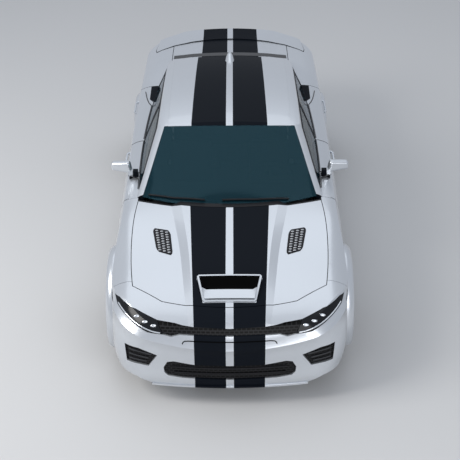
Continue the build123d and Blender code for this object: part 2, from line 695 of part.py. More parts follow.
# Engine, gearbox and final drive
with BuildPart() as engine:
    add(block((-150, -1900, 286 + seat_gap), (150, -1270, 560)))
    for sign in (1, -1):
        with BuildSketch(Plane(origin=(0, -1270, 0), x_dir=(1, 0, 0), z_dir=(0, -1, 0))):
            Polygon((sign * 60, 480), (sign * 300, 640), (sign * 230, 745), (sign * 40, 610), align=None)
        extrude(amount=600)
    add(block((-110, -1880, 560), (110, -1300, 770)))
    add(block((-130, -1960, 330), (130, -1900, 640)))
save(engine.part, "engine")
with BuildPart() as driveline:
    with BuildSketch(Plane(origin=(0, -1270 + seat_gap, 330), x_dir=(1, 0, 0), z_dir=(0, 1, 0))):
        Circle(118)
    with BuildSketch(Plane(origin=(0, -1040, 305), x_dir=(1, 0, 0), z_dir=(0, 1, 0))):
        Circle(72)
    loft()
    add(rod((0, -1045, 305), (0, -700, 300), 70))
    add(rod((0, -710, 300), (0, 1380, 290), 30))
    add(block((-110, axle_rear_y - 115 + seat_gap, 240), (110, 1580, 390)))
    for sign in (1, -1):
        half_shaft_x = sign * (wheel_x - upright_depth - seat_gap)
        add(rod((sign * 100, axle_rear_y, tyre_radius), (half_shaft_x, axle_rear_y, tyre_radius), 17))
save(driveline.part, "driveline")
with BuildPart() as radiator:
    add(block((-360, -2385 + seat_gap, 250), (360, -2325, 690)))
save(radiator.part, "radiator")

# Exhaust
with BuildPart() as exhaust:
    for sign in (1, -1):
        add(rod((sign * 150, -1300, 215), (sign * pipe_x, -1080, pipe_z), pipe_radius - 3))
        add(rod((sign * pipe_x, -1090, pipe_z), (sign * pipe_x, 1330, pipe_z), pipe_radius))
        add(rod((sign * pipe_x, 1310, pipe_z), (sign * 460, 1920, pipe_z), pipe_radius - 3))
        add(block((sign * 460 - 130, 1900, 185), (sign * 460 + 130, 2260, 315)))
        add(rod((sign * 560, 2250, 245), (sign * tip_x, 2500, 245), tip_radius))
        add(rod((sign * 596, 2475, 245), (sign * 602, 2512.5, 245), tip_radius - 8), mode=Mode.SUBTRACT)
save(exhaust.part, "exhaust")

# Dashboard, console and steering wheel
steering_plane = Plane(origin=(seat_x, -455, 890), x_dir=(1, 0, 0), z_dir=(0, 1, 0.45))
with BuildPart() as dashboard:
    with BuildSketch(side_view.offset(-660)):
        Polygon((-985, 930), (-900, 955), (-640, 950), (-610, 900), (-660, 700), (-985, 600), align=None)
    extrude(amount=1320)
    add(block((-105, -800, 401), (105, -600, 700)))
    add(block((-105, -620, 401), (105, 480, 560)))
    add(block((seat_x - 190, -700, 900), (seat_x + 190, -615, 985)))
    with BuildSketch(steering_plane.offset(-170)):
        Circle(34)
    extrude(amount=-130)
save(dashboard.part, "dashboard")
with BuildPart() as steering_wheel:
    rim_start = steering_plane.from_local_coords((182, 0, 0))
    with BuildSketch(Plane(origin=rim_start, x_dir=(1, 0, 0), z_dir=steering_plane.y_dir)):
        Circle(15)
    revolve(axis=Axis(steering_plane.origin, steering_plane.z_dir))
    with BuildSketch(steering_plane.offset(-14)):
        Circle(62)
        Rectangle(360, 34)
        with Locations((0, -90)):
            Rectangle(34, 180)
    extrude(amount=22)
    with BuildSketch(steering_plane.offset(-10)):
        Circle(24)
    extrude(amount=seat_gap - 160)
save(steering_wheel.part, "steering_wheel")

# Seats
with BuildPart() as seat:
    with BuildSketch(side_view.offset(seat_x - 240)) as seat_shape:
        with BuildLine():
            Polyline((-350, 320), (150, 290), (340, 900), (262, 930), (100, 480), (-340, 460), close=True)
        make_face()
        fillet(seat_shape.vertices(), radius=22)
    extrude(amount=480)
    fillet(seat.edges().filter_by(Axis.X, reverse=True).group_by(Axis.X)[0], radius=20)
    fillet(seat.edges().filter_by(Axis.X, reverse=True).group_by(Axis.X)[-1], radius=20)
    with BuildSketch(side_view.offset(seat_x - 130)) as head_shape:
        with BuildLine():
            Polyline((290, 890), (345, 870), (385, 1090), (330, 1110), close=True)
        make_face()
        fillet(head_shape.vertices(), radius=20)
    extrude(amount=260)
    add(block((seat_x - 230, -330, floor_z + sheet + seat_gap), (seat_x - 190, 150, 330)))
    add(block((seat_x + 190, -330, floor_z + sheet + seat_gap), (seat_x + 230, 150, 330)))
save(pair(seat.part), "front_seats")
with BuildPart() as bench:
    with BuildSketch(side_view.offset(-590)) as bench_shape:
        with BuildLine():
            Polyline(
                (640, 352), (1040, 352), (1150, 420), (1262, 940), (1180, 960), (1050, 500), (650, 470), close=True,
            )
        make_face()
        fillet(bench_shape.vertices(), radius=22)
    extrude(amount=1180)
    fillet(bench.edges().filter_by(Axis.X, reverse=True).group_by(Axis.X)[0], radius=20)
    fillet(bench.edges().filter_by(Axis.X, reverse=True).group_by(Axis.X)[-1], radius=20)
    for x in (-400, 400):
        with BuildSketch(side_view.offset(x - 130)):
            Polygon((1190, 940), (1252, 920), (1275, 1085), (1215, 1095), align=None)
        extrude(amount=260)
save(bench.part, "rear_seat")

# Interior mirror
with BuildPart() as interior_mirror:
    add(block((-125, -395, 1290), (125, -370, 1355)))
    add(rod((0, -375, 1340), (0, -395, 1393), 9))
save(interior_mirror.part, "interior_mirror")
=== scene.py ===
import math

import bmesh
import bpy
from mathutils import Matrix, Vector
from mathutils.bvhtree import BVHTree


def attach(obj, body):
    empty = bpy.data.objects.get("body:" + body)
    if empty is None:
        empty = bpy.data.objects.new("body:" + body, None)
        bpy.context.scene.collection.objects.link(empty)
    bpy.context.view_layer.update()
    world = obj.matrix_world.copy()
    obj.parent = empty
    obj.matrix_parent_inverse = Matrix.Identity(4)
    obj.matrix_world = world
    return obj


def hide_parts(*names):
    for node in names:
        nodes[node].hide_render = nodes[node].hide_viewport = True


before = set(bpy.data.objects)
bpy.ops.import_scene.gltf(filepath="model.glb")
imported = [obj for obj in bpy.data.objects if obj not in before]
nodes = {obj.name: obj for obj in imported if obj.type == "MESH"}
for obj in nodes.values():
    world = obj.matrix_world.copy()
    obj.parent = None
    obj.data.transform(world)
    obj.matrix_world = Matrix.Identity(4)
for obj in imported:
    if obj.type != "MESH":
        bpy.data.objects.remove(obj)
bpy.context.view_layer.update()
SIDES = (("left", 1), ("right", -1))

# Camera, as solved from the photograph
CAMERA_PLACE = Vector((0.0579, -9.2989, 5.6944))
CAMERA_YAW, CAMERA_PITCH, CAMERA_ROLL = map(math.radians, (-0.397, 31.248, -0.555))
FOCAL_PIXELS, FRAME_PIXELS, SENSOR = 1117.67, 460, 36

# Stripes, in metres: half of the silver line between them, and y with the half width over both
STRIPE_GAP = 0.030
STRIPE_NOSE, STRIPE_COWL = (-2.50, 0.270), (-1.10, 0.334)
STRIPE_ROOF, STRIPE_TAIL = (-0.40, 0.334), (2.40, 0.292)

# Places on the body where the paint changes, and where the walls of the panel gaps take painted shade
HOOD_FRONT_Y, HOOD_REAR_Y, HOOD_LOW_Z = -2.36, -1.00, 0.70
HOOD_EDGE_Y = -2.05                  # the hood's front edge lies ahead of it
LID_FRONT_Y, LID_SIDE_X = 1.70, (0.59, 0.62)
BELT_Z, WINDOW_FRAME_X = 1.012, 0.803
DOORS_Y, DOORS_TOP_Z, SILL_Z = (-0.999, 1.269), 1.0, 0.35
MIRROR_FOOT_X, MIRROR_FOOT_Y, MIRROR_FOOT_Z = (0.803, 0.852), (-0.647, -0.593), 0.992

# Crease across the bumper: a parabola, z at the middle plus a share of x squared
CREASE_Z, CREASE_CURVE, CREASE_BACK_Y = 0.530, 0.17, -2.0
CREASE_REACH, CREASE_HEIGHT = 0.075, 0.014

# Hood scoop: y and half width inside its rim and over its outline, and y with the rise of its floors
SCOOP_FRONT, SCOOP_REAR = (-2.286, 0.192), (-2.086, 0.236)
SCOOP_FRONT_EDGE, SCOOP_REAR_EDGE = (-2.304, 0.204), (-2.068, 0.256)
SCOOP_RAMP = ((-2.286, 0.012), (-2.240, 0.011), (-2.185, 0.005))
SCOOP_MOUTH = ((-2.185, 0.005), (-2.130, 0.004), (-2.086, 0.004))

# Hood vents: corners of the left one as inner rear, outer rear, outer front and inner front
VENT_CORNERS = ((0.497, -1.478), (0.620, -1.444), (0.577, -1.702), (0.464, -1.757))
VENT_ROWS, VENT_COLUMNS = 9, 3
VENT_LOUVRE = (0.013, 0.011, 0.003)  # half sizes
VENT_BORDER_ACROSS, VENT_BORDER_ALONG = 0.10, 0.05
VENT_FRAME_ROWS = 12
VENT_ROUNDING = {0: 0.16, 1: 0.04, 11: 0.04, 12: 0.16}
VENT_FRAME_RISE, VENT_LOUVRE_RISE = 0.0015, 0.003

# Wipers: x and y of their lines on the windscreen
WIPERS = {
    "left": ((0.50, -1.085), (0.22, -1.118), (-0.10, -1.128)),
    "right": ((-0.21, -1.120), (-0.47, -1.078), (-0.72, -1.004)),
}
WIPER_RADIUS, WIPER_RISE = 0.008, 0.016

# Band of the trunk lid behind the rear window: y and half width at its front and rear, and its bow
BAND_FRONT, BAND_REAR, BAND_BOW, BAND_RISE = (1.834, 0.600), (1.912, 0.596), 0.030, 0.0012

# Antenna: y and z of its foot, and its height, sweep, length and width
ANTENNA_Y, ANTENNA_Z, ANTENNA_HEIGHT, ANTENNA_SWEEP = 0.922, 1.437, 0.062, 0.050
ANTENNA_LENGTH, ANTENNA_TIP_LENGTH, ANTENNA_WIDTH, ANTENNA_TIP_WIDTH = 0.088, 0.012, 0.040, 0.004

# Door handles and window strips: y and z of the handles' middles, and the strips' ends along y
HANDLES = {"front": (-0.10, 0.885), "rear": (0.985, 0.905)}
HANDLE_HALF, HANDLE_FOOT_HALF, HANDLE_RISE, HANDLE_RADIUS = 0.105, 0.110, 0.012, 0.011
HANDLE_OUT, HANDLE_FOOT_OUT = 0.020, 0.002
WINDOW_STRIPS = {"front": (-0.86, 0.03), "rear": (0.10, 1.13)}
STRIP_Z, STRIP_RADIUS, STRIP_OUT = (1.000, 1.010), 0.006, 0.003

# Front: x and z of the slot's end and middle, the intakes' blades and the lamps' elements
SLOT_END = ((0.358, 0.585), (0.352, 0.600), (0.340, 0.609), (0.310, 0.612))
SLOT_MIDDLE, SLOT_RADIUS, SLOT_OUT = (0.0, 0.608), 0.0042, 0.0005
BLADES = (("upper", 0.352, 0.440), ("lower", 0.300, 0.430))    # z and half length
BLADE_RADIUS, SIDE_BLADE_RADIUS, BLADE_OUT = 0.006, 0.0055, 0.006
SIDE_BLADES = (                      # x and z of the inner end, then of the outer end
    ((0.600, 0.452), (0.775, 0.480)),
    ((0.625, 0.412), (0.775, 0.435)),
    ((0.640, 0.378), (0.775, 0.392)),
)
LAMP_STRIP_INNER, LAMP_STRIP_REACH, LAMP_STRIP_POWER = (0.524, 0.660), (0.335, 0.078), 1.5
LAMP_STRIP_RADIUS, LAMP_STRIP_OUT = 0.0055, 0.001
LAMP_ELEMENTS = ((0.575, 0.700), (0.640, 0.712), (0.705, 0.728))
LAMP_ELEMENT_HALF, LAMP_ELEMENT_BACK = (0.026, 0.011, 0.013), 0.004

# Rear: half widths and z of the plate and its recess, the diffuser's fins and the exhaust tips
RECESS_HALF, RECESS_Z, RECESS_OUT = 0.290, (0.560, 0.720), 0.002
PLATE_HALF, PLATE_Z, PLATE_OUT, PLATE_THICKNESS = 0.260, (0.585, 0.695), 0.003, 0.004
FIN_X, FIN_Z, FIN_FOOT_Z, FIN_HALF = (-0.36, -0.12, 0.12, 0.36), (0.180, 0.305), 0.185, 0.005
FIN_AHEAD, FIN_BEHIND = 0.010, 0.012
TIP_X, TIP_Y, TIP_Z = 0.600, 2.499, 0.245
TIP_RING, TIP_RING_RADIUS = 0.0455, 0.0045

# Seats: y and z outlines seen from the side, and places across
CUSHION = ((-0.340, 0.330), (0.140, 0.305), (0.100, 0.462), (-0.330, 0.442))
BACKREST = ((0.158, 0.330), (0.330, 0.885), (0.272, 0.912), (0.118, 0.480))
HEADREST = ((0.300, 0.905), (0.340, 0.890), (0.372, 1.075), (0.338, 1.088))
BENCH = ((0.655, 0.365), (1.030, 0.365), (1.040, 0.480), (0.660, 0.458))
BENCH_BACK = ((1.055, 0.400), (1.140, 0.435), (1.250, 0.925), (1.190, 0.943), (1.060, 0.505))
BENCH_HEADREST = ((1.198, 0.950), (1.246, 0.938), (1.264, 1.070), (1.226, 1.078))
SEAT_INNER_X, SEAT_OUTER_X, SEAT_MIDDLE_X, BACKREST_INSET = 0.145, 0.595, 0.370, 0.015
HEADREST_HALF, BENCH_HALF, BENCH_HEADREST_X = 0.115, 0.575, 0.40
RAIL_X, RAIL_HALF, RAIL_Y, RAIL_Z = 0.20, 0.018, (-0.320, 0.150), (0.228, 0.318)
PAD_EDGE, PAD_CELL, PAD_SWELL, PAD_PRESSURE, PAD_FRAMES = 0.016, 0.014, 0.012, 4, 16


def along(value, start, end):
    """Goes from start[1] to end[1] as value goes from start[0] to end[0]."""
    return start[1] + (end[1] - start[1]) * (value - start[0]) / (end[0] - start[0])


def steps(start, end, count):
    """Even steps from start to end, both included."""
    return [start + (end - start) * index / count for index in range(count + 1)]


def points_between(start, end, count):
    """Even steps between two points of a plane, both included."""
    return list(zip(steps(start[0], end[0], count), steps(start[1], end[1], count)))


# Materials

def principled(name, color, metallic=0.0, roughness=0.5, coat=0.0, coat_roughness=0.04, **more):
    """A plain material, and its shader."""
    material = bpy.data.materials.new(name)
    material.use_nodes = True
    shader = material.node_tree.nodes["Principled BSDF"]
    shader.inputs["Base Color"].default_value = (*color, 1)
    shader.inputs["Metallic"].default_value = metallic
    shader.inputs["Roughness"].default_value = roughness
    shader.inputs["Coat Weight"].default_value = coat
    shader.inputs["Coat Roughness"].default_value = coat_roughness
    for socket, value in more.items():
        shader.inputs[socket.replace("_", " ")].default_value = value
    return material, shader


class Graph:
    """Short ways to add maths nodes to a material."""

    def __init__(self, material):
        self.tree = material.node_tree
        place = self.tree.nodes.new("ShaderNodeTexCoord")
        self.x, self.y, self.z = self.split(place.outputs["Object"])
        self.facing_x, self.facing_y, self.facing_z = self.split(place.outputs["Normal"])

    def split(self, vector):
        node = self.tree.nodes.new("ShaderNodeSeparateXYZ")
        self.put(vector, node.inputs[0])
        return node.outputs

    def put(self, value, socket):
        """Link a node's output to a socket, or set the socket to a number."""
        if isinstance(value, (int, float)):
            socket.default_value = value
        else:
            self.tree.links.new(value, socket)

    def math(self, operation, *values):
        node = self.tree.nodes.new("ShaderNodeMath")
        node.operation = operation
        for value, socket in zip(values, node.inputs):
            self.put(value, socket)
        return node.outputs[0]

    def more(self, value, limit):
        return self.math("GREATER_THAN", value, limit)

    def less(self, value, limit):
        return self.math("LESS_THAN", value, limit)

    def between(self, value, low, high):
        return self.times(self.more(value, low), self.less(value, high))

    def times(self, *values):
        """The product, which is one where every mask among the values is one."""
        result = values[0]
        for value in values[1:]:
            result = self.math("MULTIPLY", result, value)
        return result

    def either(self, *masks):
        """One where any of the masks is one."""
        result = masks[0]
        for mask in masks[1:]:
            result = self.math("MAXIMUM", result, mask)
        return result

    def size(self, value):
        return self.math("ABSOLUTE", value)

    def line(self, value, start, end):
        """A value that goes from start[1] to end[1] as value goes from start[0] to end[0]."""
        node = self.tree.nodes.new("ShaderNodeMapRange")
        self.put(value, node.inputs["Value"])
        sockets = {"From Min": start[0], "From Max": end[0], "To Min": start[1], "To Max": end[1]}
        for name, number in sockets.items():
            node.inputs[name].default_value = number
        return node.outputs[0]

    def mix_color(self, factor, first, second):
        node = self.tree.nodes.new("ShaderNodeMix")
        node.data_type = "RGBA"
        self.put(factor, node.inputs[0])
        node.inputs[6].default_value = (*first, 1)
        node.inputs[7].default_value = (*second, 1)
        return node.outputs[2]

    def mix(self, factor, first, second):
        node = self.tree.nodes.new("ShaderNodeMix")
        self.put(factor, node.inputs[0])
        node.inputs[2].default_value = first
        node.inputs[3].default_value = second
        return node.outputs[0]

    def bump(self, height, distance, strength=1.0):
        node = self.tree.nodes.new("ShaderNodeBump")
        node.inputs["Strength"].default_value = strength
        node.inputs["Distance"].default_value = distance
        self.put(height, node.inputs["Height"])
        return node.outputs[0]


# How much of a surface's normal points along an axis, where a mask tells walls from tops, so that the walls
# of panel gaps get painted shade
FACES, LEANS_BACK, LEANS_AHEAD, LEANS_INWARD, UPRIGHT = 0.8, 0.5, -0.6, -0.3, 0.3

SILVER = (0.66, 0.69, 0.73)
PAINT = dict(metallic=0.72, roughness=0.30, coat=1.0)
# The stripes' satin black, with its roughness and specular, which the masks also put on gap walls as
# painted shade
STRIPE_AND_GAP_SHADE_BLACK = (0.006, 0.008, 0.012)
STRIPE_ROUGHNESS, STRIPE_SPECULAR, PAINT_SPECULAR = 0.42, 0.04, 0.5


def silver_with_black_and_gap_shade(name, mask):
    """Silver paint that turns to satin black where mask says, with its graph and shader; on the walls of
    panel gaps this black is painted shade.
    """
    material, shader = principled(name, SILVER, **PAINT)
    graph = Graph(material)
    # The mask marks black paint and trim, and the walls of panel gaps, where the black is painted shade
    black = mask(graph)
    graph.put(graph.mix_color(black, SILVER, STRIPE_AND_GAP_SHADE_BLACK), shader.inputs["Base Color"])
    graph.put(graph.mix(black, PAINT["metallic"], 0.0), shader.inputs["Metallic"])
    graph.put(graph.mix(black, PAINT["roughness"], STRIPE_ROUGHNESS), shader.inputs["Roughness"])
    graph.put(graph.mix(black, PAINT_SPECULAR, STRIPE_SPECULAR), shader.inputs["Specular IOR Level"])
    graph.put(graph.mix(black, PAINT["coat"], 0.0), shader.inputs["Coat Weight"])
    return material, graph, shader


def stripe_and_gap_shade_mask(graph):
    """One on the two stripes, and as painted shade on the walls of the gaps round the hood and the trunk
    lid.
    """
    across = graph.size(graph.x)
    front = graph.line(graph.y, STRIPE_NOSE, STRIPE_COWL)
    rear = graph.line(graph.y, STRIPE_ROOF, STRIPE_TAIL)
    stripes = graph.between(across, STRIPE_GAP, graph.math("MINIMUM", front, rear))
    beside_scoop = graph.more(across, graph.line(graph.y, SCOOP_FRONT_EDGE, SCOOP_REAR_EDGE))
    ahead_of_scoop = graph.less(graph.y, SCOOP_FRONT_EDGE[0])
    behind_scoop = graph.more(graph.y, SCOOP_REAR_EDGE[0])
    off_scoop = graph.either(beside_scoop, ahead_of_scoop, behind_scoop)
    # Painted shade: below, the walls of the gaps round the hood, at the nose and round the trunk lid turn
    # black
    above = graph.more(graph.z, HOOD_LOW_Z)
    upright = graph.less(graph.size(graph.facing_z), UPRIGHT)
    hood_gap_shade = graph.times(upright, graph.between(graph.y, HOOD_FRONT_Y, HOOD_REAR_Y), above, off_scoop)
    at_nose = graph.times(graph.less(graph.y, HOOD_EDGE_Y), above, off_scoop)
    nose_gap_shade = graph.times(graph.more(graph.facing_y, LEANS_BACK), at_nose)
    at_tail = graph.more(graph.y, LID_FRONT_Y)
    lid_front_gap_shade = graph.times(graph.less(graph.facing_y, LEANS_AHEAD), at_tail)
    sideways = graph.more(graph.size(graph.facing_x), FACES)
    lid_side_gap_shade = graph.times(sideways, graph.between(across, *LID_SIDE_X), at_tail)
    return graph.either(graph.times(stripes, off_scoop), hood_gap_shade, nose_gap_shade, lid_front_gap_shade, lid_side_gap_shade)


def door_trim_and_gap_shade_mask(graph):
    """One on the door's frame round the glass and on the mirror's foot, which are black trim, and on its
    edges, where the black is painted shade in the gaps.
    """
    across = graph.size(graph.x)
    window_frame = graph.times(graph.less(across, WINDOW_FRAME_X), graph.more(graph.z, BELT_Z))
    foot_place = graph.times(graph.between(graph.y, *MIRROR_FOOT_Y), graph.between(across, *MIRROR_FOOT_X))
    foot = graph.times(foot_place, graph.more(graph.z, MIRROR_FOOT_Z))
    # Painted shade on the door's front and rear edges, in the gaps
    edge = graph.times(graph.more(graph.size(graph.facing_y), FACES), graph.less(graph.z, DOORS_TOP_Z))
    return graph.either(window_frame, foot, edge)


def gap_shade_mask(graph):
    """Painted shade: one on the walls of the gaps beside the hood, the doors and the trunk lid."""
    inward = graph.less(graph.times(graph.facing_x, graph.math("SIGN", graph.x)), LEANS_INWARD)
    beside_hood_shade = graph.times(inward, graph.more(graph.z, HOOD_LOW_Z))
    pillar_shade = graph.times(graph.more(graph.size(graph.facing_y), FACES), graph.between(graph.y, *DOORS_Y))
    sill_shade = graph.times(graph.more(graph.facing_z, FACES), graph.less(graph.z, SILL_Z))
    return graph.either(beside_hood_shade, pillar_shade, sill_shade)


def striped_paint():
    """The paint with stripes and with painted shade on the gap walls, and with a soft crease across the
    bumper under the lamps.
    """
    material, graph, shader = silver_with_black_and_gap_shade("striped_paint", stripe_and_gap_shade_mask)
    curve = graph.times(CREASE_CURVE, graph.x, graph.x)
    away = graph.size(graph.math("SUBTRACT", graph.z, graph.math("ADD", CREASE_Z, curve)))
    near = graph.math("SUBTRACT", 1.0, graph.math("DIVIDE", away, CREASE_REACH))
    near = graph.math("MAXIMUM", 0.0, near)
    crease = graph.bump(graph.times(graph.less(graph.y, CREASE_BACK_Y), near, near), CREASE_HEIGHT)
    for socket in ("Normal", "Coat Normal"):
        graph.put(crease, shader.inputs[socket])
    return material


def mesh_material():
    """Black plastic with a pattern of small cells, whose near black is painted shade in the mesh's
    openings.
    """
    name, color = "grille_mesh", (0.01, 0.01, 0.012)
    material, shader = principled(name, color, roughness=0.45, Specular_IOR_Level=0.15)
    graph = Graph(material)
    join = graph.tree.nodes.new("ShaderNodeCombineXYZ")
    graph.put(graph.x, join.inputs[0])
    graph.put(graph.z, join.inputs[1])
    cells = graph.tree.nodes.new("ShaderNodeTexBrick")
    graph.put(join.outputs[0], cells.inputs["Vector"])
    settings = {
        "Scale": 1.0, "Brick Width": 0.036, "Row Height": 0.020,
        "Mortar Size": 0.0035, "Mortar Smooth": 0.1,
        # The cells' near black is painted shade for the openings; the lighter mortar is the plastic bars
        "Color1": (0.002, 0.002, 0.002, 1), "Color2": (0.003, 0.003, 0.003, 1),
        "Mortar": (0.022, 0.022, 0.024, 1),
    }
    for socket, value in settings.items():
        cells.inputs[socket].default_value = value
    graph.put(cells.outputs["Color"], shader.inputs["Base Color"])
    return material


def tyre_material():
    """Rubber with grooves round the tread."""
    groove_spacing, groove_share, groove_depth = 0.042, 0.82, 0.006
    material, shader = principled("tyre_rubber", (0.018, 0.018, 0.019), roughness=0.72)
    graph = Graph(material)
    wave = graph.math("SINE", graph.math("MULTIPLY", graph.x, 2 * math.pi / groove_spacing))
    height = graph.math("SUBTRACT", 1.0, graph.more(wave, groove_share))
    graph.put(graph.bump(height, groove_depth, 0.8), shader.inputs["Normal"])
    return material


silver = principled("silver_paint", SILVER, **PAINT)[0]
striped = striped_paint()
# Door paint: black trim round the glass and on the mirror's foot, and painted shade on the door edges
door_paint = silver_with_black_and_gap_shade("door_paint", door_trim_and_gap_shade_mask)[0]
# Silver paint with painted shade on the walls of the gaps beside the hood, the doors and the trunk lid
side_paint_with_gap_shade = silver_with_black_and_gap_shade("side_paint_with_gap_shade", gap_shade_mask)[0]
black_trim = principled("black_trim", (0.010, 0.010, 0.012), roughness=0.42, Specular_IOR_Level=0.2)[0]
gloss_black = principled("gloss_black", (0.008, 0.008, 0.010), roughness=0.12, coat=0.6)[0]
# Near black that is painted shade, standing for the dark inside of openings
hole_shade_black = principled("hole_shade_black", (0.002, 0.002, 0.002), roughness=0.9, Specular_IOR_Level=0.03)[0]
grille = mesh_material()
glass = principled(
    "tinted_glass", (0.004, 0.022, 0.032), roughness=0.04, Alpha=0.66, Specular_Tint=(0.45, 0.85, 1.0, 1.0),
)[0]
lamp_dark = principled("lamp_housing", (0.008, 0.009, 0.011), roughness=0.14, Specular_IOR_Level=0.25)[0]
lamp_bright = principled("lamp_elements", (0.85, 0.88, 0.92), metallic=0.9, roughness=0.12)[0]
lamp_red = principled("red_lamp", (0.30, 0.008, 0.010), roughness=0.10, coat=1.0)[0]
rubber = tyre_material()
rim_black = principled("rim_black", (0.020, 0.020, 0.022), metallic=0.6, roughness=0.30, coat=0.5)[0]
steel = principled("steel", (0.42, 0.42, 0.43), metallic=1.0, roughness=0.35)[0]
polished = principled("polished_steel", (0.66, 0.66, 0.67), metallic=1.0, roughness=0.14)[0]
dark_steel = principled("dark_steel", (0.055, 0.055, 0.058), metallic=0.6, roughness=0.55)[0]
aluminium = principled("cast_aluminium", (0.40, 0.41, 0.42), metallic=1.0, roughness=0.45)[0]
liner = principled("liner_plastic", (0.012, 0.012, 0.012), roughness=0.8)[0]
blade_grey = principled(
    "intake_blade_plastic", (0.04, 0.042, 0.046), roughness=0.35, Specular_IOR_Level=0.3,
)[0]
louvre_grey = principled("vent_louvre", (0.42, 0.43, 0.45), metallic=0.5, roughness=0.35)[0]
interior = principled("interior_plastic", (0.016, 0.017, 0.018), roughness=0.6)[0]
leather = principled("seat_leather", (0.020, 0.021, 0.023), roughness=0.42)[0]
plate_white = principled("plate_blank", (0.70, 0.70, 0.70), roughness=0.4)[0]

CAD_MATERIALS = {
    striped: ("hood", "front_bumper", "roof_panel", "trunk_lid", "front_splitter"),
    silver: ("rear_bumper", "arch_flares"),
    side_paint_with_gap_shade: ("front_fenders", "body_sides", "rear_quarters"),
    door_paint: ("door_front_left", "door_front_right", "door_rear_left", "door_rear_right"),
    black_trim: ("scuttle", "rear_diffuser", "side_skirts"),
    grille: ("front_grilles",),
    glass: (
        "windscreen", "rear_window", "door_glass_front_left", "door_glass_front_right",
        "door_glass_rear_left", "door_glass_rear_right",
    ),
    lamp_dark: ("headlamps",),
    lamp_red: ("tail_lamps", "tail_lamp_centre"),
    liner: ("arch_liners",),
    rubber: ("tyre_front_left", "tyre_front_right", "tyre_rear_left", "tyre_rear_right"),
    rim_black: ("rim_front_left", "rim_front_right", "rim_rear_left", "rim_rear_right"),
    dark_steel: (
        "knuckle_left", "knuckle_right", "hub_carriers", "front_suspension", "rear_suspension", "driveline",
        "floor_pan",
    ),
    aluminium: ("engine", "radiator"),
    steel: ("exhaust",),
    interior: ("dashboard", "steering_wheel", "interior_mirror"),
    leather: ("front_seats", "rear_seat"),
}


# Ways to make pieces

def smooth(node, angle=35):
    """Smooth shading between facets that meet at less than an angle."""
    mesh = node.data
    mesh.polygons.foreach_set("use_smooth", [True] * len(mesh.polygons))
    mesh.set_sharp_from_angle(angle=math.radians(angle))
    mesh.update()


def piece(name, mesh, material, body):
    """A new piece of the object on one body."""
    made = bpy.data.objects.new(name, mesh)
    bpy.context.scene.collection.objects.link(made)
    mesh.materials.append(material)
    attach(made, body)
    return made


def mesh_of(name, work):
    """A mesh from what a bmesh holds."""
    mesh = bpy.data.meshes.new(name)
    work.to_mesh(mesh)
    work.free()
    return mesh


def mesh_of_helper(helper):
    """The mesh of a helper object with its bevel or modifiers applied."""
    bpy.context.view_layer.update()
    return bpy.data.meshes.new_from_object(helper.evaluated_get(bpy.context.evaluated_depsgraph_get()))


def solid(name, rings, material, body):
    """A closed mesh through rings of points, capped at both ends."""
    work = bmesh.new()
    loops = [[work.verts.new(point) for point in ring] for ring in rings]
    for first, second in zip(loops, loops[1:]):
        for index in range(len(first)):
            after = (index + 1) % len(first)
            work.faces.new((first[index], first[after], second[after], second[index]))
    work.faces.new(list(reversed(loops[0])))
    work.faces.new(loops[-1])
    bmesh.ops.recalc_face_normals(work, faces=work.faces)
    return piece(name, mesh_of(name, work), material, body)


def block(name, low, high, material, body):
    """A plain box."""
    corners = [(low[0], low[1]), (high[0], low[1]), (high[0], high[1]), (low[0], high[1])]
    rings = [[(x, y, z) for x, y in corners] for z in (low[2], high[2])]
    return solid(name, rings, material, body)


def sheet(name, rows, material, body):
    """A sheet through rows of points."""
    work = bmesh.new()
    grid = [[work.verts.new(point) for point in row] for row in rows]
    for first, second in zip(grid, grid[1:]):
        for index in range(len(first) - 1):
            work.faces.new((first[index], first[index + 1], second[index + 1], second[index]))
    bmesh.ops.recalc_face_normals(work, faces=work.faces)
    made = piece(name, mesh_of(name, work), material, body)
    smooth(made)
    return made


def add_ball(work, centre, half_sizes, columns, rows):
    """An ellipsoid added to a bmesh."""
    verts = bmesh.ops.create_uvsphere(work, u_segments=columns, v_segments=rows, radius=1)["verts"]
    shape = Matrix.Translation(centre) @ Matrix.Diagonal((*half_sizes, 1))
    bmesh.ops.transform(work, matrix=shape, verts=verts)


def tube(name, points, radius, material, body, closed=False):
    """A round bar along a line through points, as a mesh."""
    curve = bpy.data.curves.new(name, "CURVE")
    curve.dimensions = "3D"
    curve.bevel_depth = radius
    curve.bevel_resolution = 3
    curve.use_fill_caps = True
    spline = curve.splines.new("POLY")
    spline.points.add(len(points) - 1)
    for point, place in zip(spline.points, points):
        point.co = (*place, 1)
    spline.use_cyclic_u = closed
    helper = bpy.data.objects.new(name + "_curve", curve)
    bpy.context.scene.collection.objects.link(helper)
    mesh = mesh_of_helper(helper)
    bpy.data.objects.remove(helper)
    mesh.materials.clear()
    mesh.polygons.foreach_set("use_smooth", [True] * len(mesh.polygons))
    return piece(name, mesh, material, body)


# Places on the surfaces of the solids

trees = {}
ABOVE_ALL, PAST_ENDS, PAST_SIDES = 3, 4, 2


def surface(node, start, direction):
    """Where a ray meets a CAD node, or None."""
    if node not in trees:
        mesh = nodes[node].data
        trees[node] = BVHTree.FromPolygons(
            [vertex.co for vertex in mesh.vertices], [polygon.vertices for polygon in mesh.polygons]
        )
    return trees[node].ray_cast(Vector(start), Vector(direction))[0]


def on_top(node, x, y, rise=0.0):
    """The point of a node's top surface at x and y."""
    found = surface(node, (x, y, ABOVE_ALL), (0, 0, -1))
    return Vector((x, y, found.z + rise))


def on_front(node, x, z, out=0.0):
    """The point of a node's front surface at x and z."""
    found = surface(node, (x, -PAST_ENDS, z), (0, 1, 0))
    return Vector((x, found.y - out, z))


def on_back(node, x, z, out=0.0):
    """The point of a node's rear surface at x and z."""
    found = surface(node, (x, PAST_ENDS, z), (0, -1, 0))
    return Vector((x, found.y + out, z))


